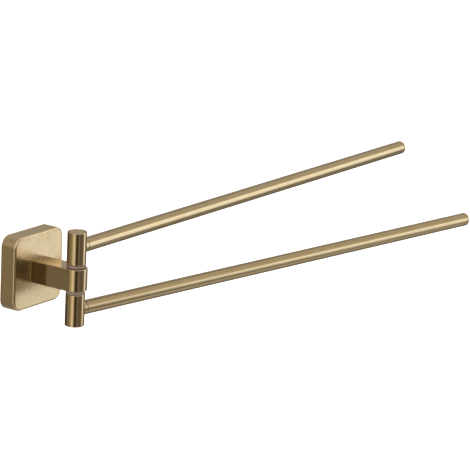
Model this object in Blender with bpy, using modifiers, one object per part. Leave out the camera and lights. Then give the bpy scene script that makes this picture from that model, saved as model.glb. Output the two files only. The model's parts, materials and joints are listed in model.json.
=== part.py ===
"""Wall-mounted swivel towel rack: a square flange over a hidden wall bracket, a square-section
arm with a round nose, and two round bars that swing on one vertical pivot through that nose.

Frame: +Z up, the wall is the plane y = 0, the rack stands out towards -Y, and the origin is the
centre of the wall bracket's back face. At rest the upper bar lies along +X, parallel to the wall,
and the lower bar is swung out from the wall by LOWER_SWING. All sizes are in metres.
"""
import math

import bmesh
import bpy
from mathutils import Matrix

# Driving dimensions
GAP = 0.0003              # clearance between pieces that touch
FLANGE_SIDE = 0.052       # the square flange, seen from the front
FLANGE_DEPTH = 0.0122     # wall to the flange's front face
FLANGE_CORNER = 0.0076
FLANGE_WALL = 0.0020
FLANGE_EDGE = 0.0015      # rounding of the front edge
ARM_WIDTH = 0.0158
ARM_HEIGHT = 0.0156
ARM_EDGE = 0.0003
PIVOT_REACH = 0.0445      # wall to the swivel axis
DRUM_RADIUS = 0.0067
DRUM_INNER_END = 0.0105   # heights above and below the arm's centre line
DRUM_OUTER_END = 0.0330
DRUM_CHAMFER = 0.0003
BAR_HEIGHT = 0.0219       # bar centre above and below the arm's centre line
BAR_RADIUS = 0.0049
BAR_WALL = 0.0010
BAR_LENGTH = 0.4009       # swivel axis to the bar's tip
CAP_THICK = 0.0022        # the end cap, outside the bar
ROOT_END = 0.0080         # swivel axis to the seam between root fitting and bar
LOWER_SWING = math.radians(9.3)

# Fixings
BRACKET_WIDTH = 0.036
BRACKET_HEIGHT = 0.0474
BRACKET_DEPTH = 0.0096
SHEET = 0.0020
WALL_HOLE_OFFSET = 0.012
WALL_HOLE_RADIUS = 0.00225    # for a 4 mm screw into the wall
ARM_SCREW_OFFSET = 0.0040
ARM_SCREW_RADIUS = 0.0020
ARM_SCREW_LENGTH = 0.0105
SET_SCREW_RADIUS = 0.0020
SET_SCREW_Y = -0.0058
BOLT_RADIUS = 0.0025
BORE_RADIUS = BOLT_RADIUS + GAP
SPRING_HEIGHT = 0.0010    # the dished washer under the bolt's head and nut

# Steps up the inside of a drum, from the arm outwards
BUSH_SEAT_RADIUS = 0.0040
NUT_SEAT = 0.0255
NUT_SEAT_RADIUS = 0.0050
CAP_SEAT = 0.0303
CAP_SEAT_RADIUS = 0.0057
SPIGOT_RADIUS = 0.0025

ROUND = 48                # facets round a visible turned piece
SMALL_ROUND = 24          # facets round a small or hidden one
ARC = 8                   # facets round a flange corner

FACING_OUT = Matrix.Rotation(math.radians(90), 4, "X")        # local +Z becomes -Y
FACING_WALL = Matrix.Rotation(math.radians(-90), 4, "X")      # local +Z becomes +Y
FACING_DOWN = Matrix.Rotation(math.radians(180), 4, "X")      # local +Z becomes -Z
ALONG_BAR = Matrix.Rotation(math.radians(90), 4, "Y")         # local +Z becomes +X


def clear_scene():
    for obj in list(bpy.data.objects):
        bpy.data.objects.remove(obj, do_unlink=True)


def new_collection(name):
    collection = bpy.data.collections.new(name)
    bpy.context.scene.collection.children.link(collection)
    return collection


clear_scene()
PARTS = new_collection("swivel_towel_rack")
CUTTERS = new_collection("cutters")


# Materials

def principled(name, colour, roughness, metallic):
    material = bpy.data.materials.new(name)
    material.use_nodes = True
    shader = material.node_tree.nodes["Principled BSDF"]
    shader.inputs["Base Color"].default_value = (*colour, 1.0)
    shader.inputs["Roughness"].default_value = roughness
    shader.inputs["Metallic"].default_value = metallic
    return material


def brushed_gold():
    return principled("brushed_gold", (0.60, 0.46, 0.27), 0.32, 1.0)


def zinc_steel():
    return principled("zinc_steel", (0.58, 0.58, 0.57), 0.38, 1.0)


def brown_nylon():
    return principled("brown_nylon", (0.23, 0.17, 0.13), 0.55, 0.0)


GOLD = brushed_gold()
STEEL = zinc_steel()
BROWN = brown_nylon()


# Building blocks

def place(obj, matrix=Matrix.Identity(4), at=(0.0, 0.0, 0.0), parent=None):
    obj.matrix_world = Matrix.Translation(at) @ matrix
    if parent:
        obj.parent = parent
        obj.matrix_parent_inverse = Matrix.Identity(4)
    return obj


def new_object(name, mesh, material=None, cutter=False):
    obj = bpy.data.objects.new(name, mesh)
    (CUTTERS if cutter else PARTS).objects.link(obj)
    if material:
        mesh.materials.append(material)
    if cutter:
        obj.hide_render = True
        obj.display_type = "WIRE"
    return obj


def turned(name, profile, material=None, ring=False, facets=ROUND, cutter=False):
    """A profile of (radius, height) points, outer side from top to bottom, turned about Z."""
    mesh = bpy.data.meshes.new(name)
    last = len(profile) - 1
    edges = [(i, i + 1) for i in range(last)]
    if ring:
        edges.append((last, 0))
    mesh.from_pydata([(radius, 0.0, height) for radius, height in profile], edges, [])
    obj = new_object(name, mesh, material, cutter)
    screw = obj.modifiers.new("turn", "SCREW")
    screw.axis = "Z"
    screw.steps = facets
    screw.render_steps = facets
    screw.use_merge_vertices = True
    screw.merge_threshold = 0.00001
    return obj


def rod_cutter(name, radius, length, facets=SMALL_ROUND):
    """A plain cylinder from the local origin up local +Z."""
    profile = [(0.0, length), (radius, length), (radius, 0.0), (0.0, 0.0)]
    return turned(name, profile, facets=facets, cutter=True)


def block_mesh(name, size, centre=(0.0, 0.0, 0.0)):
    """A box as an editable bmesh, with its scale already in the vertices."""
    bm = bmesh.new()
    bmesh.ops.create_cube(bm, size=1.0)
    bmesh.ops.scale(bm, vec=size, verts=bm.verts)
    bmesh.ops.translate(bm, vec=centre, verts=bm.verts)
    return bm, bpy.data.meshes.new(name)


def block(name, size, centre, material=None, cutter=False):
    bm, mesh = block_mesh(name, size, centre)
    bm.to_mesh(mesh)
    bm.free()
    return new_object(name, mesh, material, cutter)


def is_along(edge, axis):
    first, second = (vertex.co for vertex in edge.verts)
    run = second - first
    return abs(run[axis]) > 0.999 * run.length


def rounded_block(name, size, centre, corner, front_edge=0.0, material=None, cutter=False):
    """A box with its four edges along Y rounded, and its -Y outline softened if asked."""
    bm, mesh = block_mesh(name, size, centre)
    corners = [edge for edge in bm.edges if is_along(edge, 1)]
    bmesh.ops.bevel(bm, geom=corners, offset=corner, segments=ARC, profile=0.5, affect="EDGES")
    if front_edge:
        front_y = centre[1] - size[1] / 2
        outline = [
            edge for edge in bm.edges
            if all(abs(vertex.co.y - front_y) < 1e-6 for vertex in edge.verts)
        ]
        bmesh.ops.bevel(bm, geom=outline, offset=front_edge, segments=3, profile=0.5, affect="EDGES")
    bm.to_mesh(mesh)
    bm.free()
    return new_object(name, mesh, material, cutter)


def combine(obj, tool, operation="DIFFERENCE"):
    boolean = obj.modifiers.new(operation.lower(), "BOOLEAN")
    boolean.operation = operation
    boolean.solver = "EXACT"
    boolean.object = tool
    return obj


def finish(obj, sharp=math.radians(32)):
    """Applies the modifiers and shades the round faces smooth."""
    bpy.context.view_layer.update()
    evaluated = obj.evaluated_get(bpy.context.evaluated_depsgraph_get())
    mesh = bpy.data.meshes.new_from_object(evaluated)
    obj.modifiers.clear()
    obj.data = mesh
    mesh.shade_smooth()
    mesh.set_sharp_from_angle(angle=sharp)
    return obj


# Wall fixing

def flange_cover():
    depth = FLANGE_DEPTH
    cover = rounded_block(
        "flange_cover", (FLANGE_SIDE, depth, FLANGE_SIDE), (0.0, -depth / 2, 0.0),
        FLANGE_CORNER, FLANGE_EDGE, GOLD,
    )
    inside = FLANGE_SIDE - 2 * FLANGE_WALL
    hollow = rounded_block(
        "cut_flange_hollow", (inside, depth, inside), (0.0, FLANGE_WALL - depth / 2, 0.0),
        FLANGE_CORNER - FLANGE_WALL, cutter=True,
    )
    combine(cover, hollow)
    for side in (1, -1):
        hole = rod_cutter(f"cut_cover_arm_screw_{side}", ARM_SCREW_RADIUS + GAP, depth)
        combine(cover, place(hole, FACING_OUT, (0.0, -depth / 2, side * ARM_SCREW_OFFSET)))
    set_hole = rod_cutter("cut_cover_set_screw", SET_SCREW_RADIUS + GAP, 3 * FLANGE_WALL)
    low = (0.0, SET_SCREW_Y, -FLANGE_SIDE / 2 - FLANGE_WALL)
    combine(cover, place(set_hole, at=low))
    return finish(cover)


def wall_bracket():
    """A channel: a flat back on the wall, with a lip above and below that centres the cover."""
    bracket = block(
        "wall_bracket", (BRACKET_WIDTH, BRACKET_DEPTH, BRACKET_HEIGHT),
        (0.0, -BRACKET_DEPTH / 2, 0.0), STEEL,
    )
    between_lips = (BRACKET_WIDTH * 1.2, BRACKET_DEPTH, BRACKET_HEIGHT - 2 * SHEET)
    combine(bracket, block("cut_bracket_channel", between_lips,
                           (0.0, -SHEET - BRACKET_DEPTH / 2, 0.0), cutter=True))
    for side in (1, -1):
        hole = rod_cutter(f"cut_bracket_wall_hole_{side}", WALL_HOLE_RADIUS, 3 * SHEET)
        combine(bracket, place(hole, FACING_OUT, (side * WALL_HOLE_OFFSET, SHEET, 0.0)))
    set_hole = rod_cutter("cut_bracket_set_screw", SET_SCREW_RADIUS + GAP, 3 * SHEET)
    low = (0.0, SET_SCREW_Y, -BRACKET_HEIGHT / 2 - SHEET)
    combine(bracket, place(set_hole, at=low))
    return finish(bracket)


def hex_cutter(name, across_flats, depth):
    radius = across_flats / 2 / math.cos(math.radians(30))
    return rod_cutter(name, radius, depth, facets=6)


def flange_set_screw():
    length, point = 0.0047, 0.0006
    profile = [
        (0.0, length),
        (SET_SCREW_RADIUS - point, length),
        (SET_SCREW_RADIUS, length - point),
        (SET_SCREW_RADIUS, 0.0),
        (0.0, 0.0),
    ]
    low = (0.0, SET_SCREW_Y, GAP - FLANGE_SIDE / 2)
    screw = place(turned("flange_set_screw", profile, STEEL, facets=SMALL_ROUND), at=low)
    socket_depth, socket_width = 0.0020, 0.0020
    socket = hex_cutter("cut_set_screw_socket", socket_width, 2 * socket_depth)
    combine(screw, place(socket, at=(low[0], low[1], low[2] - socket_depth)))
    return finish(screw)


# Arm

def arm():
    """A square bar whose nose is a half circle round the swivel axis."""
    radius = ARM_WIDTH / 2
    back = PIVOT_REACH - FLANGE_DEPTH - GAP
    steps = ROUND // 2
    outline = [(radius, back), (-radius, back)]
    for step in range(steps + 1):
        angle = math.pi + math.pi * step / steps
        outline.append((radius * math.cos(angle), radius * math.sin(angle)))
    bm = bmesh.new()
    underside = bm.faces.new([bm.verts.new((x, y, -ARM_HEIGHT / 2)) for x, y in outline])
    grown = bmesh.ops.extrude_face_region(bm, geom=[underside])
    top = [item for item in grown["geom"] if isinstance(item, bmesh.types.BMVert)]
    bmesh.ops.translate(bm, vec=(0.0, 0.0, ARM_HEIGHT), verts=top)
    bmesh.ops.recalc_face_normals(bm, faces=bm.faces)
    mesh = bpy.data.meshes.new("arm")
    bm.to_mesh(mesh)
    bm.free()
    bar = place(new_object("arm", mesh, GOLD), at=(0.0, -PIVOT_REACH, 0.0))
    soften = bar.modifiers.new("soft_edges", "BEVEL")
    soften.width = ARM_EDGE
    soften.segments = 1
    soften.limit_method = "ANGLE"
    soften.angle_limit = math.radians(60)
    bore = rod_cutter("cut_arm_bore", BORE_RADIUS, 2 * ARM_HEIGHT)
    combine(bar, place(bore, at=(0.0, -PIVOT_REACH, -ARM_HEIGHT)))
    for side in (1, -1):
        hole = rod_cutter(f"cut_arm_screw_{side}", ARM_SCREW_RADIUS + GAP, ARM_SCREW_LENGTH)
        mouth = (0.0, -FLANGE_DEPTH + 2 * GAP, side * ARM_SCREW_OFFSET)
        combine(bar, place(hole, FACING_OUT, mouth))
    return finish(bar)


def arm_screw(name, side):
    """Put in from inside the flange; its head bears on the back of the flange's face."""
    head_radius, head_height = 0.0035, 0.0026
    profile = [
        (0.0, head_height),
        (head_radius - GAP, head_height),
        (head_radius, head_height - GAP),
        (head_radius, 0.0),
        (ARM_SCREW_RADIUS, 0.0),
        (ARM_SCREW_RADIUS, -ARM_SCREW_LENGTH),
        (0.0, -ARM_SCREW_LENGTH),
    ]
    seat = (0.0, -FLANGE_DEPTH + FLANGE_WALL + GAP, side * ARM_SCREW_OFFSET)
    screw = place(turned(name, profile, STEEL, facets=SMALL_ROUND), FACING_WALL, seat)
    socket_depth, socket_width = 0.0016, 0.0030
    socket = hex_cutter(f"cut_{name}_socket", socket_width, 2 * socket_depth)
    mouth = (seat[0], seat[1] + head_height - socket_depth, seat[2])
    combine(screw, place(socket, FACING_WALL, mouth))
    return finish(screw)


# Pivot stack, on the swivel axis

def on_axis(height=0.0):
    return (0.0, -PIVOT_REACH, height)


def pivot_bolt():
    head_radius, head_height, end_chamfer = 0.0043, 0.0030, 0.0004
    seat = NUT_SEAT + SPRING_HEIGHT + 2 * GAP
    end = CAP_SEAT - GAP
    profile = [
        (0.0, end),
        (BOLT_RADIUS - end_chamfer, end),
        (BOLT_RADIUS, end - end_chamfer),
        (BOLT_RADIUS, -seat),
        (head_radius, -seat),
        (head_radius, -seat - head_height),
        (0.0, -seat - head_height),
    ]
    bolt = place(turned("pivot_bolt", profile, STEEL, facets=SMALL_ROUND), at=on_axis())
    socket_depth, socket_width = 0.0018, 0.0030
    socket = hex_cutter("cut_bolt_socket", socket_width, 2 * socket_depth)
    combine(bolt, place(socket, at=on_axis(-seat - head_height - socket_depth)))
    return finish(bolt)


def pivot_nut():
    height, across_flats = 0.0027, 0.0080
    radius = across_flats / 2 / math.cos(math.radians(30))
    profile = [(0.0, height), (radius, height), (radius, 0.0), (0.0, 0.0)]
    seat = on_axis(NUT_SEAT + SPRING_HEIGHT + 2 * GAP)
    nut = place(turned("pivot_nut", profile, STEEL, facets=6), at=seat)
    bore = rod_cutter("cut_nut_bore", BORE_RADIUS, 3 * height)
    combine(nut, place(bore, at=(seat[0], seat[1], seat[2] - height)))
    return finish(nut)


def spring_washer(name, side):
    """A dished steel ring that keeps the stack under load, so the bars turn with light drag."""
    inner, outer, thick = BORE_RADIUS, 0.0046, 0.0005
    profile = [
        (inner, SPRING_HEIGHT),
        (outer, thick),
        (outer, 0.0),
        (inner, SPRING_HEIGHT - thick),
    ]
    washer = turned(name, profile, STEEL, ring=True, facets=SMALL_ROUND)
    upright = Matrix.Identity(4) if side > 0 else FACING_DOWN
    return finish(place(washer, upright, on_axis(side * (NUT_SEAT + GAP))))


def glide_washer(name, side):
    """The nylon ring that shows between the arm's nose and a drum."""
    outer, chamfer = DRUM_RADIUS - 0.0001, 0.0002
    low = ARM_HEIGHT / 2 + GAP
    high = DRUM_INNER_END - GAP
    profile = [
        (outer - chamfer, high),
        (outer, high - chamfer),
        (outer, low + chamfer),
        (outer - chamfer, low),
        (BORE_RADIUS, low),
        (BORE_RADIUS, high),
    ]
    washer = turned(name, profile, BROWN, ring=True)
    upright = Matrix.Identity(4) if side > 0 else FACING_DOWN
    return finish(place(washer, upright, on_axis()))


# Swinging pieces: built along local +X about the swivel axis, then carried by an empty on it

def swivel(name, swing, side):
    """The empty on the swivel axis that carries one drum and its bar."""
    pivot = bpy.data.objects.new(name, None)
    PARTS.objects.link(pivot)
    flip = Matrix.Identity(4) if side > 0 else FACING_DOWN
    pivot.matrix_world = Matrix.Translation(on_axis()) @ Matrix.Rotation(-swing, 4, "Z") @ flip
    return pivot


def bushing(name, pivot):
    outer = BUSH_SEAT_RADIUS - GAP
    low, high = DRUM_INNER_END + GAP, NUT_SEAT - GAP
    profile = [(outer, high), (outer, low), (BORE_RADIUS, low), (BORE_RADIUS, high)]
    return finish(place(turned(name, profile, BROWN, ring=True, facets=SMALL_ROUND), parent=pivot))


def drum(name, pivot):
    """The turned barrel half: stepped inside for the bushing, the bolt's end and the cap."""
    low, high, chamfer = DRUM_INNER_END, DRUM_OUTER_END, DRUM_CHAMFER
    profile = [
        (CAP_SEAT_RADIUS, high),
        (DRUM_RADIUS - chamfer, high),
        (DRUM_RADIUS, high - chamfer),
        (DRUM_RADIUS, low + chamfer),
        (DRUM_RADIUS - chamfer, low),
        (BUSH_SEAT_RADIUS, low),
        (BUSH_SEAT_RADIUS, NUT_SEAT),
        (NUT_SEAT_RADIUS, NUT_SEAT),
        (NUT_SEAT_RADIUS, CAP_SEAT),
        (CAP_SEAT_RADIUS, CAP_SEAT),
    ]
    barrel = place(turned(name, profile, GOLD, ring=True), parent=pivot)
    hole = rod_cutter(f"cut_{name}_spigot", SPIGOT_RADIUS + GAP, 2 * DRUM_RADIUS)
    combine(barrel, place(hole, ALONG_BAR, (DRUM_RADIUS / 3, 0.0, BAR_HEIGHT), pivot))
    return finish(barrel)


def drum_cap(name, pivot):
    radius, chamfer = CAP_SEAT_RADIUS - GAP, 0.0002
    low, high = CAP_SEAT + GAP, DRUM_OUTER_END
    profile = [
        (0.0, high),
        (radius - chamfer, high),
        (radius, high - chamfer),
        (radius, low),
        (0.0, low),
    ]
    return finish(place(turned(name, profile, GOLD), parent=pivot))


def bar_root(name, pivot):
    """The fitting that screws into the drum: a coped collar, with a plug inside the bar."""
    collar_radius = BAR_RADIUS - 0.0001
    plug_radius = BAR_RADIUS - BAR_WALL - GAP
    plug_end, chamfer = 0.022, 0.0002
    profile = [
        (0.0, plug_end),
        (plug_radius, plug_end),
        (plug_radius, ROOT_END),
        (collar_radius - chamfer, ROOT_END),
        (collar_radius, ROOT_END - chamfer),
        (collar_radius, 0.0),
        (0.0, 0.0),
    ]
    root = place(turned(name, profile, GOLD), ALONG_BAR, (0.0, 0.0, BAR_HEIGHT), pivot)
    cope = rod_cutter(f"cut_{name}_cope", DRUM_RADIUS + GAP, DRUM_OUTER_END, facets=2 * ROUND)
    combine(root, place(cope, at=(0.0, 0.0, BAR_HEIGHT / 3), parent=pivot))
    spigot_start = BUSH_SEAT_RADIUS + GAP
    spigot = rod_cutter(f"join_{name}_spigot", SPIGOT_RADIUS, ROOT_END - spigot_start)
    combine(root, place(spigot, ALONG_BAR, (spigot_start, 0.0, BAR_HEIGHT), pivot), "UNION")
    return finish(root)


def bar(name, pivot):
    inner, chamfer = BAR_RADIUS - BAR_WALL, 0.0002
    start, end = ROOT_END + GAP, BAR_LENGTH - CAP_THICK - GAP
    profile = [
        (inner, end),
        (BAR_RADIUS - chamfer, end),
        (BAR_RADIUS, end - chamfer),
        (BAR_RADIUS, start + chamfer),
        (BAR_RADIUS - chamfer, start),
        (inner, start),
    ]
    tube = turned(name, profile, GOLD, ring=True)
    return finish(place(tube, ALONG_BAR, (0.0, 0.0, BAR_HEIGHT), pivot))


def bar_end_cap(name, pivot):
    """A flat-faced cap with a rounded rim and a plug inside the bar."""
    rim, steps, plug_length = 0.0012, 4, 0.010
    plug_radius = BAR_RADIUS - BAR_WALL - GAP
    shoulder = BAR_LENGTH - CAP_THICK
    profile = [(0.0, BAR_LENGTH)]
    for step in range(steps + 1):
        angle = math.pi / 2 * step / steps
        profile.append((
            BAR_RADIUS - rim + rim * math.sin(angle),
            BAR_LENGTH - rim + rim * math.cos(angle),
        ))
    profile += [
        (BAR_RADIUS, shoulder),
        (plug_radius, shoulder),
        (plug_radius, shoulder - plug_length),
        (0.0, shoulder - plug_length),
    ]
    cap = turned(name, profile, GOLD)
    return finish(place(cap, ALONG_BAR, (0.0, 0.0, BAR_HEIGHT), pivot))


def swinging_set(level, swing, side):
    pivot = swivel(f"{level}_swivel_axis", swing, side)
    drum(f"{level}_drum", pivot)
    bushing(f"{level}_bushing", pivot)
    drum_cap(f"{level}_drum_cap", pivot)
    bar_root(f"{level}_bar_root", pivot)
    bar(f"{level}_bar", pivot)
    bar_end_cap(f"{level}_bar_end_cap", pivot)


def towel_rack():
    flange_cover()
    wall_bracket()
    flange_set_screw()
    arm()
    pivot_bolt()
    pivot_nut()
    for level, side, swing in (("upper", 1, 0.0), ("lower", -1, LOWER_SWING)):
        arm_screw(f"arm_screw_{level}", side)
        spring_washer(f"{level}_spring_washer", side)
        glide_washer(f"{level}_glide_washer", side)
        swinging_set(level, swing, side)


towel_rack()
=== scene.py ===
"""Visual model of the swivel towel rack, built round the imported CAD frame.

Most pieces are meshes made here in metres, at the place their CAD nodes have. The small hardware
(screws, pivot bolt, nut, spring washers and bushings) keeps its CAD meshes and gets a material.
Two mesh attributes feed the materials: "grain" holds a piece's own coordinates, with Z along the
axis of a round piece, and "wear" is 1 on its rounded edges.
"""

import json
import math

import bmesh
import bpy
from mathutils import Matrix, Vector


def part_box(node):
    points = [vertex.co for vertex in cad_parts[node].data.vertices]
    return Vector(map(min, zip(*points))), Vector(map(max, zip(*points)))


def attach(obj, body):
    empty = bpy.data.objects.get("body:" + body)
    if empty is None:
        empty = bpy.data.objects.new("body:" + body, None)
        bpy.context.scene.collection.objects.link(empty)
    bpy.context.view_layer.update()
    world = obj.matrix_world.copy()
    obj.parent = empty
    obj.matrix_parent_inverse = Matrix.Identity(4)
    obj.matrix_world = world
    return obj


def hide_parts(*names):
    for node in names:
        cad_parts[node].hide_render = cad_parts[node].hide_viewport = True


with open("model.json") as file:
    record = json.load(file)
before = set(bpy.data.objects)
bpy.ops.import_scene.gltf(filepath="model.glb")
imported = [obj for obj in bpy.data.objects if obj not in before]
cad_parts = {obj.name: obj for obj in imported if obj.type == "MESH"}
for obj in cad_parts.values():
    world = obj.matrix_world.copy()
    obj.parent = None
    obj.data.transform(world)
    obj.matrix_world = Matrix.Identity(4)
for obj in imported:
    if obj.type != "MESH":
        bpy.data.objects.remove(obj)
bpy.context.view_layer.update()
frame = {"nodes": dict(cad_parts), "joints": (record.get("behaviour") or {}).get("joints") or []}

MM = 0.001
SEAM = 0.10 * MM              # shown gap between pieces that touch
SUPPORT = 0.16 * MM           # ring beside a rounded edge, which keeps the flats flat
SEGMENTS = 96                 # round a turned piece
CUT_SEGMENTS = 48             # round a hole
SHARP_BEND = 36               # degrees; a greater bend is shaded as a sharp edge
WORN_BENDS = (8, 35)          # degrees; bends between these are rounded edges, which wear


# Sizes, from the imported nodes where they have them

def low(node, axis):
    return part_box(node)[0]["xyz".index(axis)]


def high(node, axis):
    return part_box(node)[1]["xyz".index(axis)]


def middle(node):
    lo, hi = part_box(node)
    return (lo + hi) / 2


JOINTS = {joint["name"]: joint for joint in frame["joints"]}
PIVOT = Vector(JOINTS["upper_swivel"]["pos_m"])
PIVOT.z = 0.0
FLANGE_HALF = high("flange_cover", "x")
FLANGE_DEPTH = -low("flange_cover", "y")
FLANGE_CORNER = 7.6 * MM
FLANGE_WALL = 2.0 * MM
FLANGE_EDGE = 1.5 * MM
SCREW_HOLE = 2.3 * MM         # radii of the holes for M4 screws and for the pivot bolt
PIVOT_HOLE = 2.8 * MM
ARM_HALF_WIDTH = high("arm", "x")
ARM_HALF_HEIGHT = high("arm", "z")
DRUM_RADIUS = high("upper_drum", "y") - PIVOT.y
DRUM_LOW = low("upper_drum", "z")
DRUM_HIGH = high("upper_drum", "z")
LID_SEAT = 5.7 * MM           # radius of the drum's open end
BAR_Z = middle("upper_bar").z
BAR_RADIUS = (high("upper_bar", "z") - low("upper_bar", "z")) / 2
BAR_START = low("upper_bar", "x")
BAR_END = high("upper_bar", "x")
TIP = high("upper_bar_end_cap", "x")
TUBE_WALL = 1.0 * MM
PLUG_RADIUS = 3.6 * MM        # of the root collars and tips, inside the bars
ALONG_X = Matrix.Rotation(math.radians(90), 4, "Y")
FLIP = Matrix.Rotation(math.radians(180), 4, "X")
TO_FRONT = Matrix.Rotation(math.radians(90), 4, "X")


def swing_of(level):
    """The angle between a bar and the wall at rest."""
    out = middle(f"{level}_bar") - PIVOT
    return math.atan2(-out.y, out.x)


# Mesh building

def rounded(points, closed=False, steps=5):
    """A (radius, height, rounding) outline with its corners rounded."""
    result = []
    count = len(points)
    least_room = 1.5 * SUPPORT
    for index, (radius, height, rounding) in enumerate(points):
        corner = Vector((radius, height))
        if rounding <= 0 or (not closed and index in (0, count - 1)):
            result.append(corner)
            continue
        before = Vector(points[index - 1][:2]) - corner
        after = Vector(points[(index + 1) % count][:2]) - corner
        half = before.angle(after) / 2
        reach = rounding / math.tan(half)
        turn = math.pi - 2 * half
        before_room, after_room = before.length - reach, after.length - reach
        before.normalize()
        after.normalize()
        centre = corner + (before + after).normalized() * rounding / math.sin(half)
        first = corner + before * reach - centre
        last = corner + after * reach - centre
        if before_room > least_room:
            result.append(centre + first + before * SUPPORT)
        for step in range(steps + 1):
            share = step / steps
            result.append(centre + (
                first * math.sin((1 - share) * turn) + last * math.sin(share * turn)
            ) / math.sin(turn))
        if after_room > least_room:
            result.append(centre + last + after * SUPPORT)
    return result


def skin(rings, closed=False, caps=False):
    """Quads between rings of points. A ring of one point is a pole."""
    verts, index = [], []
    for ring in rings:
        index.append(range(len(verts), len(verts) + len(ring)))
        verts.extend(ring)
    faces = []
    following = list(index[1:]) + ([index[0]] if closed else [])
    for one, two in zip(index, following):
        count = max(len(one), len(two))
        for step in range(count):
            after = (step + 1) % count
            if len(one) == 1:
                faces.append((one[0], two[step], two[after]))
            elif len(two) == 1:
                faces.append((one[step], two[0], one[after]))
            else:
                faces.append((one[step], two[step], two[after], one[after]))
    if caps:
        faces.append(tuple(index[0]))
        faces.append(tuple(reversed(index[-1])))
    return verts, faces


def ring_at(radius, height, segments=SEGMENTS):
    """A circle about Z. Height may be a function of the point's x and y."""
    if radius < 1e-7:
        return [(0.0, 0.0, height)]
    points = []
    for step in range(segments):
        angle = 2 * math.pi * step / segments
        x, y = radius * math.cos(angle), radius * math.sin(angle)
        points.append((x, y, height(x, y) if callable(height) else height))
    return points


def arc(u, v, radius, start, turn, steps):
    """Points on an arc about (u, v), with both of its ends."""
    points = []
    for step in range(steps + 1):
        angle = start + turn * step / steps
        points.append((u + radius * math.cos(angle), v + radius * math.sin(angle)))
    return points


def lathe(profile, closed=False, segments=SEGMENTS):
    return skin([ring_at(r, h, segments) for r, h in profile], closed)


def cylinder_cut(radius, start, end):
    outline = [(0.0, start), (radius, start), (radius, end), (0.0, end)]
    return lathe(outline, segments=CUT_SEGMENTS)


def make_mesh(name, shape):
    verts, faces = shape
    mesh = bpy.data.meshes.new(name)
    mesh.from_pydata([tuple(v) for v in verts], [], faces)
    bm = bmesh.new()
    bm.from_mesh(mesh)
    bmesh.ops.recalc_face_normals(bm, faces=bm.faces)
    bm.to_mesh(mesh)
    bm.free()
    return mesh


def cut_away(obj, cuts):
    """Cuts closed shapes, each with its place in the piece's own frame, out of obj."""
    tools = []
    for number, (shape, place) in enumerate(cuts):
        mesh = make_mesh(f"{obj.name}_cut_{number}", shape)
        mesh.transform(place)
        tool = bpy.data.objects.new(mesh.name, mesh)
        bpy.context.scene.collection.objects.link(tool)
        tool.matrix_world = obj.matrix_world
        boolean = obj.modifiers.new(tool.name, "BOOLEAN")
        boolean.operation = "DIFFERENCE"
        boolean.solver = "EXACT"
        boolean.object = tool
        tools.append(tool)
    bpy.context.view_layer.update()
    evaluated = obj.evaluated_get(bpy.context.evaluated_depsgraph_get())
    mesh = bpy.data.meshes.new_from_object(evaluated)
    obj.modifiers.clear()
    obj.data = mesh
    for tool in tools:
        bpy.data.objects.remove(tool, do_unlink=True)


def mark_surface(mesh):
    """Writes the "grain" and "wear" attributes."""
    bm = bmesh.new()
    bm.from_mesh(mesh)
    wear = [0.0] * len(bm.verts)
    for edge in bm.edges:
        if len(edge.link_faces) != 2:
            continue
        bend = math.degrees(edge.calc_face_angle_signed())
        if WORN_BENDS[0] < bend < WORN_BENDS[1]:
            for vertex in edge.verts:
                wear[vertex.index] = 1.0
    places = [tuple(vertex.co) for vertex in bm.verts]
    bm.free()
    grain = mesh.attributes.new("grain", "FLOAT_VECTOR", "POINT")
    grain.data.foreach_set("vector", [c for place in places for c in place])
    worn = mesh.attributes.new("wear", "FLOAT", "POINT")
    worn.data.foreach_set("value", wear)


def piece(name, shape, material, body, stands_for, place=None, cuts=()):
    """One finished piece, shaped in its own frame and then put at its place."""
    obj = bpy.data.objects.new(name, make_mesh(name, shape))
    bpy.context.scene.collection.objects.link(obj)
    obj.matrix_world = place or Matrix.Identity(4)
    if cuts:
        cut_away(obj, cuts)
    mesh = obj.data
    mark_surface(mesh)
    mesh.shade_smooth()
    mesh.set_sharp_from_angle(angle=math.radians(SHARP_BEND))
    mesh.materials.clear()
    mesh.materials.append(material)
    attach(obj, body)
    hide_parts(stands_for)


# Materials

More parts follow.
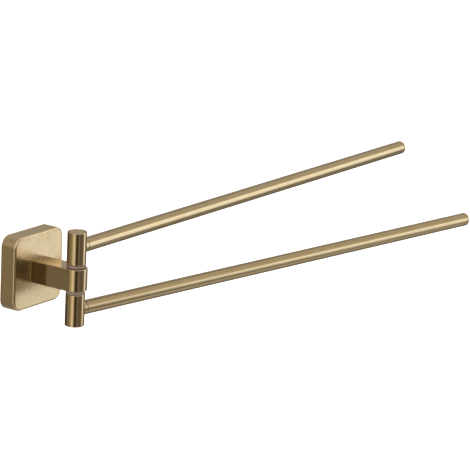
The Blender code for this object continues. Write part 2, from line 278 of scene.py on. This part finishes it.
class Graph:
    """A short way to write node trees."""

    def __init__(self, tree):
        self.tree = tree
        tree.nodes.clear()

    def node(self, kind, **settings):
        made = self.tree.nodes.new(kind)
        for key, value in settings.items():
            setattr(made, key, value)
        return made

    def wire(self, value, socket):
        if isinstance(value, bpy.types.NodeSocket):
            self.tree.links.new(value, socket)
        else:
            socket.default_value = value

    def math(self, operation, *values):
        made = self.node("ShaderNodeMath", operation=operation)
        for value, socket in zip(values, made.inputs):
            self.wire(value, socket)
        return made.outputs[0]

    def scaled(self, vector, scale):
        made = self.node("ShaderNodeMapping", vector_type="POINT")
        self.wire(vector, made.inputs["Vector"])
        made.inputs["Scale"].default_value = scale
        return made.outputs[0]

    def noise(self, vector, scale, detail, roughness):
        made = self.node("ShaderNodeTexNoise", noise_dimensions="3D")
        self.wire(vector, made.inputs["Vector"])
        made.inputs["Scale"].default_value = scale
        made.inputs["Detail"].default_value = detail
        made.inputs["Roughness"].default_value = roughness
        return made.outputs["Fac"]

    def grain(self):
        """The piece's own coordinates."""
        return self.node("ShaderNodeAttribute", attribute_name="grain").outputs["Vector"]

    def wear(self):
        return self.node("ShaderNodeAttribute", attribute_name="wear").outputs["Fac"]

    def object_place(self):
        """The same for a CAD mesh, which has no attributes."""
        return self.node("ShaderNodeTexCoord").outputs["Object"]

    def remap(self, value, low_in, high_in, low_out, high_out, smooth=False):
        interpolation = "SMOOTHSTEP" if smooth else "LINEAR"
        made = self.node("ShaderNodeMapRange", interpolation_type=interpolation)
        for item, socket in zip((value, low_in, high_in, low_out, high_out), made.inputs):
            self.wire(item, socket)
        return made.outputs[0]

    def mix(self, share, one, two, blend="MIX"):
        """A mix of two colours. The node's colours are its inputs 6 and 7 and its output 2."""
        made = self.node("ShaderNodeMix", data_type="RGBA", blend_type=blend)
        self.wire(share, made.inputs["Factor"])
        for item, socket in zip((one, two), (made.inputs[6], made.inputs[7])):
            self.wire(item if isinstance(item, bpy.types.NodeSocket) else (*item, 1.0), socket)
        return made.outputs[2]

    def ramp(self, value, stops):
        """Places first, then colours, because moving a stop can change its number."""
        made = self.node("ShaderNodeValToRGB")
        elements = made.color_ramp.elements
        while len(elements) < len(stops):
            elements.new(0.5)
        for element, (position, _) in zip(elements, stops):
            element.position = position
        for element, (_, colour) in zip(elements, stops):
            element.color = (*colour, 1.0)
        self.wire(value, made.inputs["Fac"])
        return made.outputs["Color"]

    def bump(self, height, depth, normal=None):
        made = self.node("ShaderNodeBump")
        made.inputs["Strength"].default_value = 1.0
        made.inputs["Distance"].default_value = depth
        self.wire(height, made.inputs["Height"])
        if normal is not None:
            self.wire(normal, made.inputs["Normal"])
        return made.outputs["Normal"]


def new_material(name):
    material = bpy.data.materials.new(name)
    material.use_nodes = True
    graph = Graph(material.node_tree)
    shader = graph.node("ShaderNodeBsdfPrincipled")
    output = graph.node("ShaderNodeOutputMaterial")
    graph.wire(shader.outputs["BSDF"], output.inputs["Surface"])
    return material, graph, shader


def tinted(colour, factors):
    return tuple(value * factor for value, factor in zip(colour, factors))


GRAINS = {
    # name: (scale of the fine lines along x, y and z, anisotropy, its turn)
    "blasted": ((5200.0, 5200.0, 5200.0), 0.0, 0.0),
    "turned": ((90.0, 90.0, 7800.0), 0.62, 0.25),
    "lengthwise": ((6400.0, 6400.0, 46.0), 0.62, 0.0),
}


def gold(name, grain, roughness, colour, depth):
    """Gold plate: cloudy tone, fine grain of some depth, handling smears, brighter rounded edges."""
    material, graph, shader = new_material(name)
    scale, anisotropy, turn = GRAINS[grain]
    place, wear = graph.grain(), graph.wear()
    lines = graph.noise(graph.scaled(place, scale), 1.0, 3.0, 0.6)
    clouds = graph.noise(place, 85.0, 3.0, 0.55)
    smears = graph.noise(place, 210.0, 2.0, 0.5)
    waves = graph.noise(place, 120.0, 1.0, 0.4)

    darker, lighter = tinted(colour, (0.975, 0.965, 0.95)), tinted(colour, (1.02, 1.02, 1.03))
    in_lines, on_edges = tinted(colour, (0.72, 0.72, 0.72)), (0.78, 0.64, 0.44)
    tone = graph.mix(graph.remap(clouds, 0.34, 0.66, 0.0, 1.0, True), darker, lighter)
    tone = graph.mix(graph.remap(lines, 0.25, 0.75, 0.0, 0.24), tone, in_lines)
    tone = graph.mix(graph.math("MULTIPLY", wear, 0.08), tone, on_edges)
    graph.wire(tone, shader.inputs["Base Color"])

    rough = graph.remap(lines, 0.25, 0.75, roughness - 0.035, roughness + 0.045)
    rough = graph.math("ADD", rough, graph.remap(smears, 0.52, 0.74, 0.0, 0.03, True))
    rough = graph.math("SUBTRACT", rough, graph.math("MULTIPLY", wear, 0.05))
    graph.wire(rough, shader.inputs["Roughness"])

    wavy = graph.bump(waves, 0.000003)
    graph.wire(graph.bump(lines, depth, wavy), shader.inputs["Normal"])
    shader.inputs["Metallic"].default_value = 1.0
    if anisotropy:
        shader.inputs["Anisotropic"].default_value = anisotropy
        shader.inputs["Anisotropic Rotation"].default_value = turn
        tangent = graph.node("ShaderNodeTangent", direction_type="RADIAL", axis="Z")
        graph.wire(tangent.outputs[0], shader.inputs["Tangent"])
    return material


def zinc(name, on_cad=False):
    """Zinc plate on steel: patchy blue-grey spangle, dull handled areas, fine scratches."""
    material, graph, shader = new_material(name)
    place = graph.object_place() if on_cad else graph.grain()
    patches = graph.noise(place, 160.0, 3.0, 0.6)
    scratches = graph.noise(graph.scaled(place, (1400.0, 5200.0, 260.0)), 1.0, 2.0, 0.5)
    spangle = graph.node("ShaderNodeTexVoronoi", feature="F1")
    spangle.inputs["Scale"].default_value = 900.0
    graph.wire(place, spangle.inputs["Vector"])
    cells = graph.node("ShaderNodeSeparateColor")
    graph.wire(spangle.outputs["Color"], cells.inputs[0])

    blue_grey, warm_grey, bright = (0.64, 0.66, 0.68), (0.78, 0.78, 0.75), (0.86, 0.87, 0.88)
    tone = graph.mix(graph.remap(patches, 0.35, 0.65, 0.0, 1.0, True), blue_grey, warm_grey)
    tone = graph.mix(graph.math("MULTIPLY", cells.outputs[0], 0.16), tone, bright)
    graph.wire(tone, shader.inputs["Base Color"])

    rough = graph.remap(patches, 0.3, 0.7, 0.44, 0.58)
    rough = graph.math("ADD", rough, graph.remap(scratches, 0.6, 0.8, 0.0, 0.10))
    graph.wire(rough, shader.inputs["Roughness"])
    graph.wire(graph.bump(scratches, 0.000008), shader.inputs["Normal"])
    shader.inputs["Metallic"].default_value = 1.0
    return material


def nylon(name, colour, speck, on_cad=False):
    """Moulded plastic: soft gloss, fine mould texture and slight colour drift."""
    material, graph, shader = new_material(name)
    place = graph.object_place() if on_cad else graph.grain()
    drift = graph.noise(place, 140.0, 3.0, 0.6)
    pores = graph.noise(place, 4200.0, 2.0, 0.6)
    darker = tinted(colour, (0.82, 0.82, 0.82))
    tone = graph.mix(graph.remap(drift, 0.35, 0.65, 0.0, 1.0, True), darker, colour)
    tone = graph.mix(graph.remap(pores, 0.45, 0.75, 0.0, 0.35), tone, speck)
    graph.wire(tone, shader.inputs["Base Color"])
    graph.wire(graph.remap(pores, 0.3, 0.7, 0.28, 0.40), shader.inputs["Roughness"])
    graph.wire(graph.bump(pores, 0.000012), shader.inputs["Normal"])
    return material


PLATE_GOLD = gold("gold_plate_satin", "blasted", 0.26, (0.65, 0.508, 0.315), 0.0000015)
ARM_GOLD = gold("gold_arm_satin", "blasted", 0.11, (0.61, 0.477, 0.30), 0.000002)
DRUM_GOLD = gold("gold_drum_turned", "turned", 0.09, (0.62, 0.48, 0.295), 0.000002)
BAR_GOLD = gold("gold_bar_brushed", "lengthwise", 0.17, (0.46, 0.36, 0.221), 0.0000015)
BRACKET_ZINC = zinc("zinc_plated_steel_piece")
CAD_ZINC = zinc("zinc_plated_steel", on_cad=True)
RING_NYLON = nylon("brown_nylon_ring", (0.23, 0.165, 0.13), (0.34, 0.26, 0.21))
CAD_NYLON = nylon("brown_nylon_bushing", (0.23, 0.17, 0.13), (0.34, 0.27, 0.21), on_cad=True)


# Flange

def square_outline(half, corner, corner_steps=16, side_steps=8):
    """Points round a square with rounded corners, the same count whatever its size."""
    core = half - corner
    quarter = arc(core, core, corner, 0.0, math.pi / 2, corner_steps)
    quarter += [(core - 2 * core * step / side_steps, half) for step in range(1, side_steps)]
    points = []
    for number in range(4):
        turn = number * math.pi / 2
        cos, sin = math.cos(turn), math.sin(turn)
        points += [(u * cos - v * sin, u * sin + v * cos) for u, v in quarter]
    return points


def flange():
    """A shell: front face, softened front edge, sides, rim on the wall, and the hollow behind."""
    inner_half, inner_depth = FLANGE_HALF - FLANGE_WALL, FLANGE_DEPTH - FLANGE_WALL
    face_border, hollow_border = 2.2 * MM, 1.2 * MM
    rim_edge, hollow_edge = 0.25 * MM, 0.6 * MM
    section = rounded([
        (FLANGE_HALF - face_border, FLANGE_DEPTH, 0.0),
        (FLANGE_HALF, FLANGE_DEPTH, FLANGE_EDGE),
        (FLANGE_HALF, 0.0, rim_edge),
        (inner_half, 0.0, rim_edge),
        (inner_half, inner_depth, hollow_edge),
        (inner_half - hollow_border, inner_depth, 0.0),
    ], steps=9)
    loops = []
    for half, depth in section:
        corner = FLANGE_CORNER - (FLANGE_HALF - half)
        loops.append([(u, -depth, v) for u, v in square_outline(half, corner)])
    reach = 3 * MM
    hole = cylinder_cut(SCREW_HOLE, -reach, reach)
    cuts = []
    for node in ("arm_screw_upper", "arm_screw_lower"):
        spot = (0.0, -FLANGE_DEPTH + FLANGE_WALL / 2, middle(node).z)
        cuts.append((hole, Matrix.Translation(spot) @ TO_FRONT))
    seat = middle("flange_set_screw")
    cuts.append((hole, Matrix.Translation((seat.x, seat.y, -FLANGE_HALF + FLANGE_WALL / 2))))
    piece("flange_cover_shell", skin(loops, caps=True), PLATE_GOLD, "wall_mount",
          "flange_cover", cuts=cuts)


# Arm

def arm_outline(inset, back, corner=0.35 * MM):
    """The arm from above, about the swivel axis: a half circle, then straight to the flange."""
    half, far = ARM_HALF_WIDTH - inset, back - inset
    nose_steps, corner_steps = 64, 4
    along_side, along_back = (0.1, 0.3, 0.5, 0.7, 0.9), (0.4, -0.4)
    points = arc(0.0, 0.0, half, math.pi, math.pi, nose_steps)
    points += [(half, far * share) for share in along_side]
    points += arc(half - corner, far - corner, corner, 0.0, math.pi / 2, corner_steps)
    points += [(share * half, far) for share in along_back]
    points += arc(-half + corner, far - corner, corner, math.pi / 2, math.pi / 2, corner_steps)
    points += [(-half, far * share) for share in reversed(along_side)]
    return points


def arm():
    back = -FLANGE_DEPTH - PIVOT.y - SEAM
    edge, border = 0.38 * MM, 0.8 * MM
    section = rounded([
        (border, -ARM_HALF_HEIGHT, 0.0),
        (0.0, -ARM_HALF_HEIGHT, edge),
        (0.0, ARM_HALF_HEIGHT, edge),
        (border, ARM_HALF_HEIGHT, 0.0),
    ])
    loops = []
    for inset, z in section:
        loops.append([(x, y, z) for x, y in arm_outline(inset, back)])
    through, before_face, screw_depth = 9 * MM, 1 * MM, 11 * MM
    cuts = [(cylinder_cut(PIVOT_HOLE, -through, through), Matrix.Identity(4))]
    for node in ("arm_screw_upper", "arm_screw_lower"):
        spot = Matrix.Translation((0.0, back, middle(node).z))
        cuts.append((cylinder_cut(SCREW_HOLE, -before_face, screw_depth), spot @ TO_FRONT))
    piece("arm_body", skin(loops, caps=True), ARM_GOLD, "wall_mount", "arm",
          place=Matrix.Translation(PIVOT), cuts=cuts)


def glide_ring(level, side):
    """The nylon ring between nose and drum, a little narrower than they are."""
    radius, edge = DRUM_RADIUS - 0.1 * MM, 0.22 * MM
    bottom, top = ARM_HALF_HEIGHT + 2 * SEAM, DRUM_LOW - 2 * SEAM
    profile = rounded([
        (PIVOT_HOLE, bottom, 0.0),
        (radius, bottom, edge),
        (radius, top, edge),
        (PIVOT_HOLE, top, 0.0),
    ])
    upright = Matrix.Translation(PIVOT) @ (Matrix.Identity(4) if side > 0 else FLIP)
    piece(f"{level}_glide_ring", lathe(profile, True), RING_NYLON, "wall_mount",
          f"{level}_glide_washer", place=upright)


# Swinging pieces

def drum(level, body, pivot):
    bore, bore_end = 4.0 * MM, 25.5 * MM
    hollow, lid_floor = 5.0 * MM, 30.3 * MM
    inner_edge, top_edge, bottom_edge = 0.30 * MM, 0.38 * MM, 0.34 * MM
    profile = rounded([
        (LID_SEAT, DRUM_HIGH, inner_edge),
        (DRUM_RADIUS, DRUM_HIGH, top_edge),
        (DRUM_RADIUS, DRUM_LOW, bottom_edge),
        (bore, DRUM_LOW, 0.0),
        (bore, bore_end, 0.0),
        (hollow, bore_end, 0.0),
        (hollow, lid_floor, 0.0),
        (LID_SEAT, lid_floor, 0.0),
    ], closed=True)
    spigot_hole, inside, outside = 2.8 * MM, 2 * MM, 9 * MM
    hole = cylinder_cut(spigot_hole, inside, outside)
    side_hole = (hole, Matrix.Translation((0, 0, BAR_Z)) @ ALONG_X)
    piece(f"{level}_drum_shell", lathe(profile, True), DRUM_GOLD, body, f"{level}_drum",
          place=pivot, cuts=[side_hole])


def drum_lid(level, body, pivot):
    """A disc pressed into the drum, a hair below its rim."""
    play, sunk, edge = 0.24 * MM, 0.25 * MM, 0.3 * MM
    radius, top, bottom = LID_SEAT - play, DRUM_HIGH - sunk, 30.6 * MM
    profile = rounded([
        (0.0, top, 0.0),
        (radius, top, edge),
        (radius, bottom, 0.0),
        (0.0, bottom, 0.0),
    ])
    profile[1:1] = [Vector((radius * share, top)) for share in (0.3, 0.6, 0.85)]
    piece(f"{level}_drum_lid", lathe(profile), DRUM_GOLD, body, f"{level}_drum_cap",
          place=pivot)


def root_collar(level, body, bar_frame):
    """Coped to the drum at one end; a spigot goes into the drum and a plug into the bar."""
    radius, end = BAR_RADIUS - 0.1 * MM, BAR_START - 2 * SEAM
    spigot, spigot_end, plug_end = 2.5 * MM, 4.3 * MM, 22 * MM
    lead, tail_lead, edge = 0.1 * MM, 0.5 * MM, 0.15 * MM
    drum_face = DRUM_RADIUS + SEAM

    def on_drum(x, y):
        return math.sqrt(drum_face ** 2 - y ** 2)

    rings = [ring_at(0.0, spigot_end), ring_at(spigot, spigot_end)]
    for share in (0.0, 0.3, 0.6, 0.85, 0.96):
        rings.append(ring_at(spigot + share * (radius - spigot), on_drum))
    rings.append(ring_at(radius, lambda x, y: on_drum(x, y) + lead))
    tail = rounded([
        (radius, end - tail_lead, 0.0),
        (radius, end, edge),
        (PLUG_RADIUS, end, 0.0),
        (PLUG_RADIUS, plug_end, 0.0),
        (0.0, plug_end, 0.0),
    ])
    rings += [ring_at(r, h) for r, h in tail]
    piece(f"{level}_root_collar", skin(rings), BAR_GOLD, body, f"{level}_bar_root",
          place=bar_frame)


def bar_tube(level, body, bar_frame):
    """A tube, with rings along its outside so that its faces don't get too long."""
    inner, parts = BAR_RADIUS - TUBE_WALL, 16
    start_edge, end_edge = 0.15 * MM, 0.12 * MM
    profile = rounded([
        (inner, BAR_START, 0.0),
        (BAR_RADIUS, BAR_START, start_edge),
        (BAR_RADIUS, BAR_END, end_edge),
        (inner, BAR_END, 0.0),
    ], closed=True)
    outer = [i for i in range(len(profile) - 1) if profile[i].x > inner + TUBE_WALL / 2]
    run = max(outer, key=lambda i: (profile[i + 1] - profile[i]).length)
    first, last = profile[run], profile[run + 1]
    profile[run + 1:run + 1] = [first.lerp(last, step / parts) for step in range(1, parts)]
    piece(f"{level}_bar_tube", lathe(profile, True), BAR_GOLD, body, f"{level}_bar",
          place=bar_frame)


def bar_tip(level, body, bar_frame):
    """A round-edged tip with a plug that goes into the bar."""
    shoulder = BAR_END + 2 * SEAM
    plug_end = shoulder - 10 * MM
    rim, shoulder_edge = 1.2 * MM, 0.12 * MM
    profile = rounded([
        (0.0, TIP, 0.0),
        (BAR_RADIUS, TIP, rim),
        (BAR_RADIUS, shoulder, shoulder_edge),
        (PLUG_RADIUS, shoulder, 0.0),
        (PLUG_RADIUS, plug_end, 0.0),
        (0.0, plug_end, 0.0),
    ], steps=8)
    piece(f"{level}_bar_tip", lathe(profile), BAR_GOLD, body, f"{level}_bar_end_cap",
          place=bar_frame)


def swinging_set(level, side):
    body = f"{level}_swing_bar"
    pivot = Matrix.Translation(PIVOT) @ Matrix.Rotation(-swing_of(level), 4, "Z")
    if side < 0:
        pivot = pivot @ FLIP
    bar_frame = pivot @ Matrix.Translation((0, 0, BAR_Z)) @ ALONG_X
    drum(level, body, pivot)
    drum_lid(level, body, pivot)
    root_collar(level, body, bar_frame)
    bar_tube(level, body, bar_frame)
    bar_tip(level, body, bar_frame)


# Wall fixing

def bracket():
    """A bent channel: a flat back and two lips, with true bends."""
    width, tall = high("wall_bracket", "x"), high("wall_bracket", "z")
    deep, sheet = -low("wall_bracket", "y"), 2.0 * MM
    bend, inner_bend, lip_edge = 2.3 * MM, 0.5 * MM, 0.3 * MM
    outline = rounded([
        (tall, 0.0, bend),
        (tall, deep, lip_edge),
        (tall - sheet, deep, lip_edge),
        (tall - sheet, sheet, inner_bend),
        (-tall + sheet, sheet, inner_bend),
        (-tall + sheet, deep, lip_edge),
        (-tall, deep, lip_edge),
        (-tall, 0.0, bend),
    ], closed=True)
    stations = (-width, -width + SUPPORT, width - SUPPORT, width)
    loops = [[(x, -point.y, point.x) for point in outline] for x in stations]
    wall_hole, hole_offset = 2.25 * MM, 12 * MM
    back_reach, lip_reach = 4 * MM, 3 * MM
    cuts = []
    for x in (-hole_offset, hole_offset):
        hole = cylinder_cut(wall_hole, -back_reach, back_reach)
        cuts.append((hole, Matrix.Translation((x, 0, 0)) @ TO_FRONT))
    seat = middle("flange_set_screw")
    hole = cylinder_cut(SCREW_HOLE, -lip_reach, lip_reach)
    cuts.append((hole, Matrix.Translation((seat.x, seat.y, -tall + sheet / 2))))
    piece("wall_bracket_channel", skin(loops, caps=True), BRACKET_ZINC, "wall_mount",
          "wall_bracket", cuts=cuts)


flange()
arm()
bracket()
for level, side in (("upper", 1), ("lower", -1)):
    glide_ring(level, side)
    swinging_set(level, side)

CARRIED = {
    CAD_ZINC: ("flange_set_screw", "arm_screw_upper", "arm_screw_lower", "pivot_bolt", "pivot_nut",
               "upper_spring_washer", "lower_spring_washer"),
    CAD_NYLON: ("upper_bushing", "lower_bushing"),
}
for material, names in CARRIED.items():
    for name in names:
        for slot in frame["nodes"][name].material_slots:
            slot.material = material


# Camera

AZIMUTH, ELEVATION, ROLL = (math.radians(angle) for angle in (54.868, 15.247, 2.559))
TARGET = Vector((0.20792, -0.02836, -0.01343))
DISTANCE = 2.4840
LENS_IN_WIDTHS = 7.24389      # focal length over image width
SENSOR = 36.0

level_reach = math.cos(ELEVATION)
towards = Vector((-math.sin(AZIMUTH) * level_reach, -math.cos(AZIMUTH) * level_reach,
                  math.sin(ELEVATION)))
level_right = (-towards).cross(Vector((0, 0, 1))).normalized()
level_up = level_right.cross(-towards)
right = level_right * math.cos(ROLL) + level_up * math.sin(ROLL)
up = level_up * math.cos(ROLL) - level_right * math.sin(ROLL)
camera_data = bpy.data.cameras.new("camera")
camera_data.sensor_width = SENSOR
camera_data.lens = SENSOR * LENS_IN_WIDTHS
camera_data.clip_start, camera_data.clip_end = 0.05, 60.0
camera = bpy.data.objects.new("camera", camera_data)
bpy.context.scene.collection.objects.link(camera)
spot = TARGET + towards * DISTANCE
camera.matrix_world = Matrix((
    (right.x, up.x, towards.x, spot.x),
    (right.y, up.y, towards.y, spot.y),
    (right.z, up.z, towards.z, spot.z),
    (0.0, 0.0, 0.0, 1.0),
))
bpy.context.scene.camera = camera


# Studio: soft light as a sky of broad tones, pale floor

HORIZON = [
    # degrees right of the camera's own side, light there
    (-180, (0.14, 0.13, 0.115)),
    (-152, (0.06, 0.055, 0.045)),
    (-128, (0.055, 0.047, 0.035)),
    (-111, (0.09, 0.08, 0.06)),
    (-97, (0.20, 0.18, 0.13)),
    (-86, (0.36, 0.32, 0.225)),
    (-71, (0.22, 0.19, 0.14)),
    (-58, (0.48, 0.42, 0.27)),
    (-46, (0.60, 0.53, 0.36)),
    (-36, (0.96, 0.87, 0.66)),
    (-28, (1.12, 1.05, 0.85)),
    (-18, (0.90, 0.84, 0.70)),
    (-10, (0.40, 0.37, 0.29)),
    (-4, (0.11, 0.092, 0.062)),
    (2, (0.066, 0.054, 0.034)),
    (16, (0.074, 0.06, 0.036)),
    (24, (0.14, 0.12, 0.085)),
    (31, (0.38, 0.35, 0.30)),
    (38, (0.17, 0.15, 0.12)),
    (57, (0.175, 0.15, 0.11)),
    (80, (0.215, 0.19, 0.145)),
    (97, (0.34, 0.325, 0.28)),
    (125, (0.31, 0.295, 0.25)),
    (142, (0.28, 0.265, 0.225)),
    (160, (0.13, 0.12, 0.10)),
    (180, (0.14, 0.13, 0.115)),
]
CEILING = [
    (-180, (0.47, 0.445, 0.39)),
    (-145, (0.52, 0.49, 0.43)),
    (-103, (0.40, 0.37, 0.32)),
    (-78, (0.42, 0.39, 0.335)),
    (-50, (0.94, 0.885, 0.78)),
    (40, (0.94, 0.885, 0.78)),
    (75, (0.88, 0.82, 0.70)),
    (97, (0.88, 0.82, 0.69)),
    (125, (0.76, 0.71, 0.58)),
    (145, (0.84, 0.80, 0.68)),
    (165, (0.50, 0.48, 0.42)),
    (180, (0.47, 0.445, 0.39)),
]
GROUND = [
    (-180, (0.28, 0.26, 0.225)),
    (-150, (0.42, 0.39, 0.34)),
    (-100, (0.25, 0.23, 0.20)),
    (-70, (0.29, 0.27, 0.23)),
    (-40, (0.46, 0.425, 0.365)),
    (10, (0.44, 0.405, 0.345)),
    (70, (0.48, 0.45, 0.39)),
    (98, (0.89, 0.86, 0.76)),
    (120, (0.61, 0.58, 0.51)),
    (145, (0.25, 0.23, 0.185)),
    (165, (0.21, 0.195, 0.165)),
    (180, (0.28, 0.26, 0.225)),
]
RAMP_TOP = 1.2                # ramps hold light as a share of this
GROUND_BLEND = (-38, -22)     # degrees above level, where ground tones give way to the horizon's
CEILING_BLEND = (1, 16)       # and the horizon's to the ceiling's
LOW_CEILING = (-62, 74)       # between these degrees the ceiling tones come further down
CEILING_DROP = 7              # degrees
WINDOW_LIGHT = (1.53, 1.655, 1.74)
WINDOW_SIDES = (87, 120)      # its left and right edges, in degrees right of the camera's side
WINDOW_HEIGHT = (-19, 19)     # its lower and upper edges, in degrees above level
WINDOW_TAPER = 0.55           # how much its sides close in, per degree below level
SOFTNESS = 6.5                # degrees, of the window's edges and the low ceiling's ends


def studio():
    """Lights the rack by direction. The camera itself sees white where nothing stands."""
    world = bpy.data.worlds.new("studio")
    bpy.context.scene.world = world
    world.use_nodes = True
    graph = Graph(world.node_tree)
    way = graph.node("ShaderNodeTexCoord").outputs["Generated"]

    def along(direction):
        made = graph.node("ShaderNodeVectorMath", operation="DOT_PRODUCT")
        graph.wire(way, made.inputs[0])
        made.inputs[1].default_value = direction
        return made.outputs["Value"]

    ahead = along((-math.sin(AZIMUTH), -math.cos(AZIMUTH), 0.0))
    aside = along((math.cos(AZIMUTH), -math.sin(AZIMUTH), 0.0))
    turn = graph.math("ARCTAN2", aside, ahead)
    share = graph.math("MULTIPLY_ADD", turn, 0.5 / math.pi, 0.5)
    rise = graph.math("ARCSINE", along((0.0, 0.0, 1.0)))

    def tones(stops):
        return graph.ramp(share, [
            ((degrees + 180) / 360, tuple(c / RAMP_TOP for c in light)) for degrees, light in stops
        ])

    def between(angle, start, end, rising=True):
        """Goes smoothly from 0 to 1, or back, as angle goes from start to end degrees."""
        first, last = (0.0, 1.0) if rising else (1.0, 0.0)
        return graph.remap(angle, math.radians(start), math.radians(end), first, last, True)

    def edge(angle, place, rising=True):
        return between(angle, place - SOFTNESS, place + SOFTNESS, rising)

    below = graph.math("MULTIPLY", graph.math("MINIMUM", rise, 0.0), WINDOW_TAPER)
    from_left = edge(graph.math("ADD", turn, below), WINDOW_SIDES[0])
    from_right = edge(graph.math("SUBTRACT", turn, below), WINDOW_SIDES[1], False)
    window = graph.math("MULTIPLY", from_left, from_right)
    window = graph.math("MULTIPLY", window, edge(rise, WINDOW_HEIGHT[0]))
    window = graph.math("MULTIPLY", window, edge(rise, WINDOW_HEIGHT[1], False))

    light = graph.mix(between(rise, *GROUND_BLEND), tones(GROUND), tones(HORIZON))
    dropped = graph.math("MULTIPLY", edge(turn, LOW_CEILING[0]), edge(turn, LOW_CEILING[1], False))
    lifted = graph.math("MULTIPLY_ADD", dropped, math.radians(CEILING_DROP), rise)
    light = graph.mix(between(lifted, *CEILING_BLEND), light, tones(CEILING))
    light = graph.mix(window, light, tuple(c / RAMP_TOP for c in WINDOW_LIGHT), "ADD")

    sky = graph.node("ShaderNodeBackground")
    graph.wire(light, sky.inputs["Color"])
    sky.inputs["Strength"].default_value = RAMP_TOP
    white = graph.node("ShaderNodeBackground")
    white.inputs["Color"].default_value = (1.0, 1.0, 1.0, 1.0)
    seen = graph.node("ShaderNodeLightPath").outputs["Is Camera Ray"]
    chosen = graph.node("ShaderNodeMixShader")
    graph.wire(seen, chosen.inputs[0])
    graph.wire(sky.outputs[0], chosen.inputs[1])
    graph.wire(white.outputs[0], chosen.inputs[2])
    output = graph.node("ShaderNodeOutputWorld")
    graph.wire(chosen.outputs[0], output.inputs["Surface"])


def pale_floor():
    """Well below the rack, wide enough to fill the picture behind it."""
    reach, level, steps = 12.0, -0.30, 12
    stations = [reach * (2 * step / steps - 1) for step in range(steps + 1)]
    points = [(x, y, level) for y in stations for x in stations]
    faces = []
    for row in range(steps):
        for column in range(steps):
            corner = row * (steps + 1) + column
            faces.append((corner, corner + 1, corner + steps + 2, corner + steps + 1))
    mesh = bpy.data.meshes.new("floor")
    mesh.from_pydata(points, [], faces)
    material, graph, shader = new_material("pale_floor")
    shader.inputs["Base Color"].default_value = (0.9, 0.9, 0.9, 1.0)
    shader.inputs["Roughness"].default_value = 0.9
    shader.inputs["Emission Color"].default_value = (1.0, 1.0, 1.0, 1.0)
    shader.inputs["Emission Strength"].default_value = 0.8
    mesh.materials.append(material)
    floor = bpy.data.objects.new("floor", mesh)
    bpy.context.scene.collection.objects.link(floor)
    floor.visible_glossy = False


studio()
pale_floor()
bpy.context.scene.view_settings.view_transform = "Standard"
